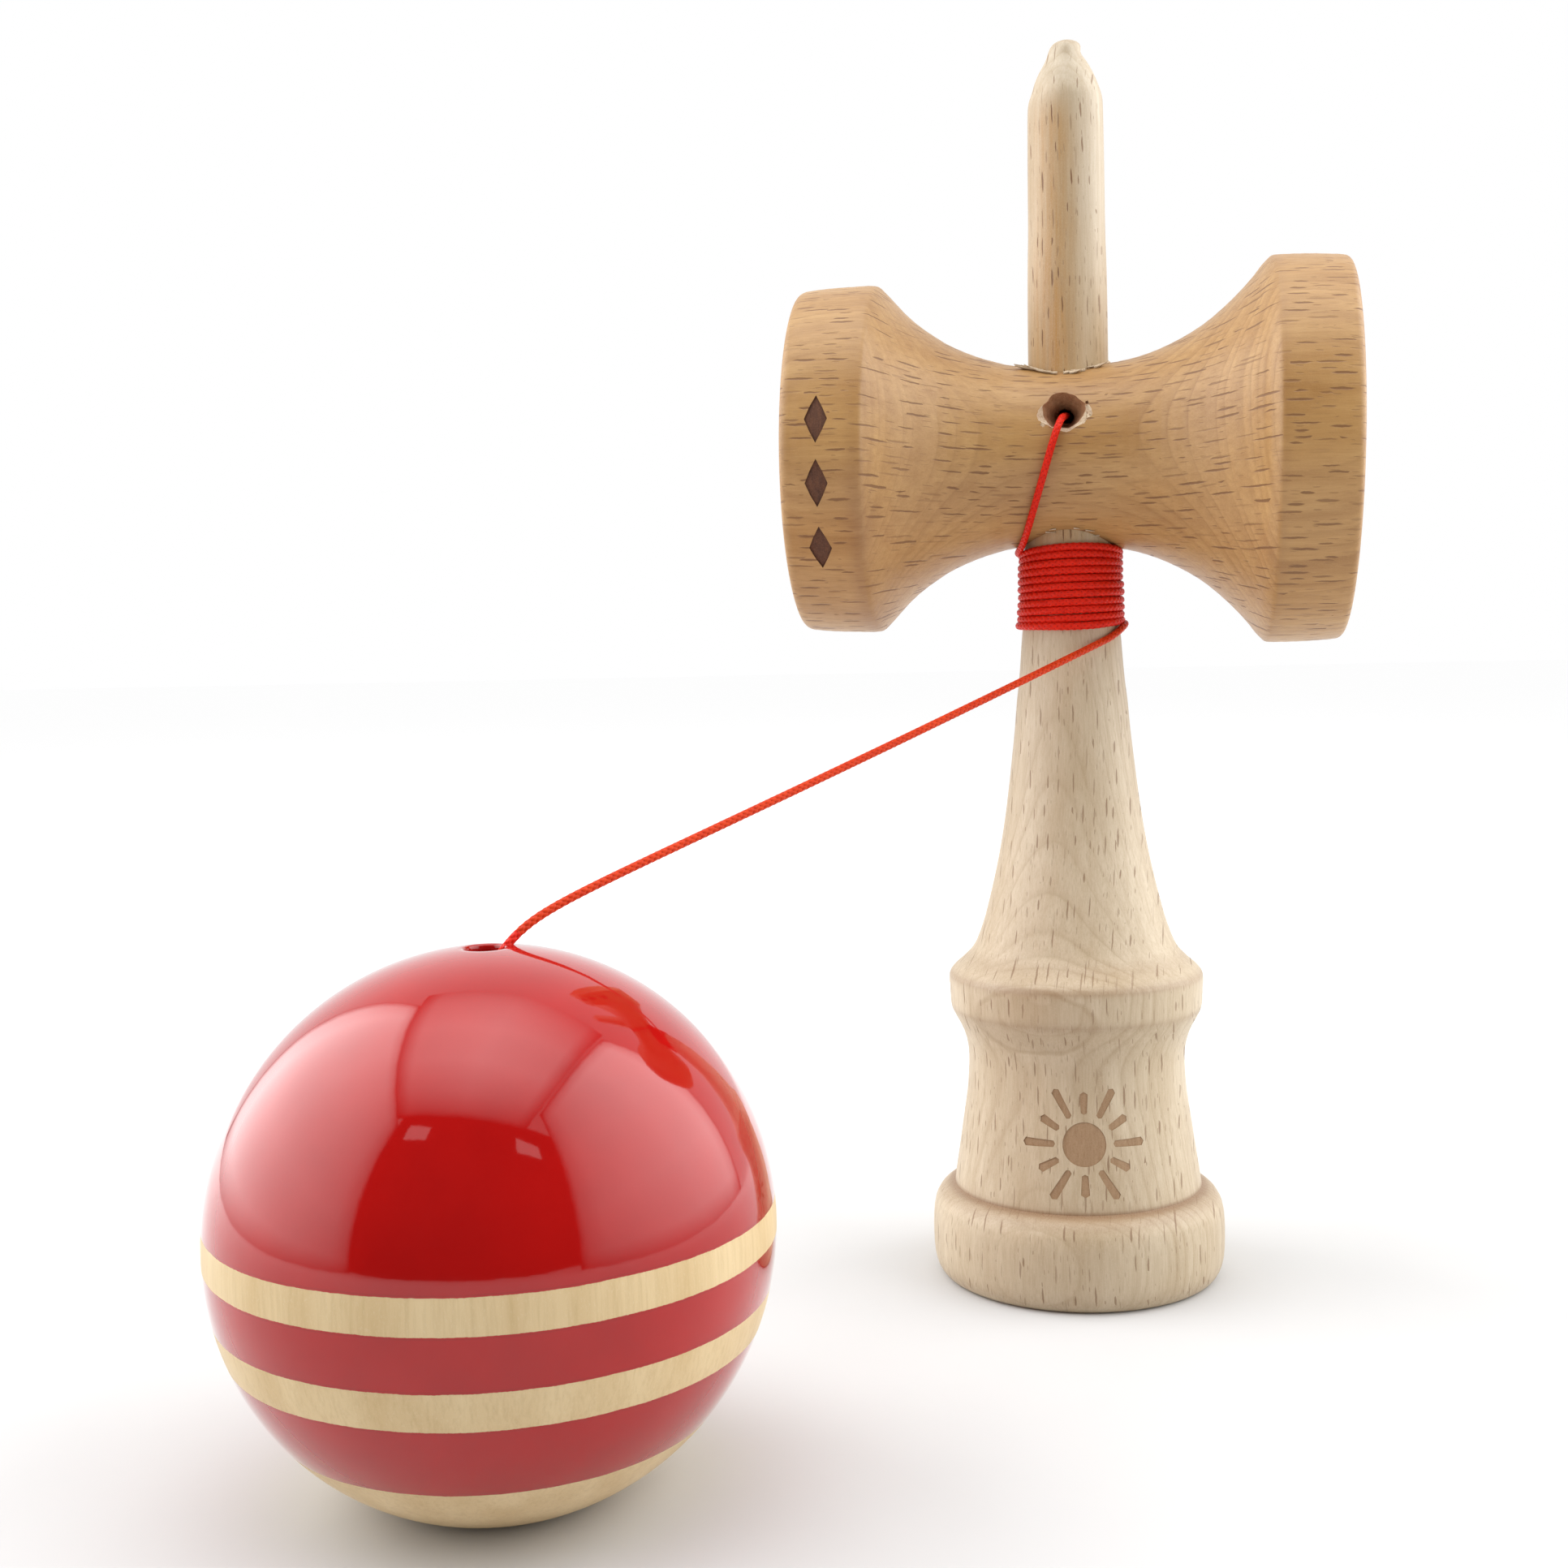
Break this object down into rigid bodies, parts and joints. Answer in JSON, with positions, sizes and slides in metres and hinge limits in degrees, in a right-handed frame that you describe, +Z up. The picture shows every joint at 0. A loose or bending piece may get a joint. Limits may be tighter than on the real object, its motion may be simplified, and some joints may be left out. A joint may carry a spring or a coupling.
{
  "type": "kendama",
  "caption": "Wooden cup-and-ball skill toy: turned handle with spike and base cup, two-cup cross-piece, lacquered holed ball on a braided cord wound round the neck.",
  "frame": {"origin": "centre of the footprint of handle, cross-piece and ball, on the surface they stand on", "axes": "+Z up the handle towards its spike, +X along the cross-piece towards its big cup, -Y towards the side with the cord hole and the ball"},
  "size_m": [0.1258, 0.1308, 0.1684],
  "materials": {
    "pale_beech": "fine-sanded pale beech, unvarnished, with short dark flecks",
    "warm_beech": "fine-sanded honey-coloured beech, unvarnished",
    "red_lacquer": "high-gloss red lacquer on maple, with two bare bands and a bare foot",
    "bead_wood": "plain satin wood",
    "red_cord": "fine braided nylon"
  },
  "bodies": {
    "handle": {"ken": "pale_beech", "sarado": "warm_beech", "anchor_knot": "red_cord", "string_lead": "red_cord", "string_winding": "red_cord"},
    "cord_turn": {"string_turn": "red_cord"},
    "cord_span": {"string_span": "red_cord"},
    "cord_end": {"string_drop": "red_cord", "bead": "bead_wood", "bead_knot": "red_cord"},
    "ball": {"tama": "red_lacquer"}
  },
  "joints": [
    {"name": "cord_swing", "type": "hinge", "parent": "handle", "child": "cord_turn", "pos_m": [0.0264, 0.03995, 0.0894], "axis": [0, 0, 1], "range_deg": [-150, 150]},
    {"name": "ball_lift", "type": "hinge", "parent": "cord_turn", "child": "cord_span", "pos_m": [0.02849, 0.03181, 0.08686], "axis": [-0.7362, 0.6767, 0], "range_deg": [0, 18]},
    {"name": "ball_level", "type": "hinge", "parent": "cord_span", "child": "cord_end", "pos_m": [-0.03086, -0.03276, 0.05915], "axis": [-0.7362, 0.6767, 0], "range_deg": [-18, 0]},
    {"name": "ball_spin", "type": "hinge", "parent": "cord_end", "child": "ball", "pos_m": [-0.0329, -0.03535, 0.03], "axis": [0, 0, 1], "continuous": true}
  ],
  "couplings": [
    {"joint": "ball_level", "follows": "ball_lift", "ratio": -1}
  ]
}
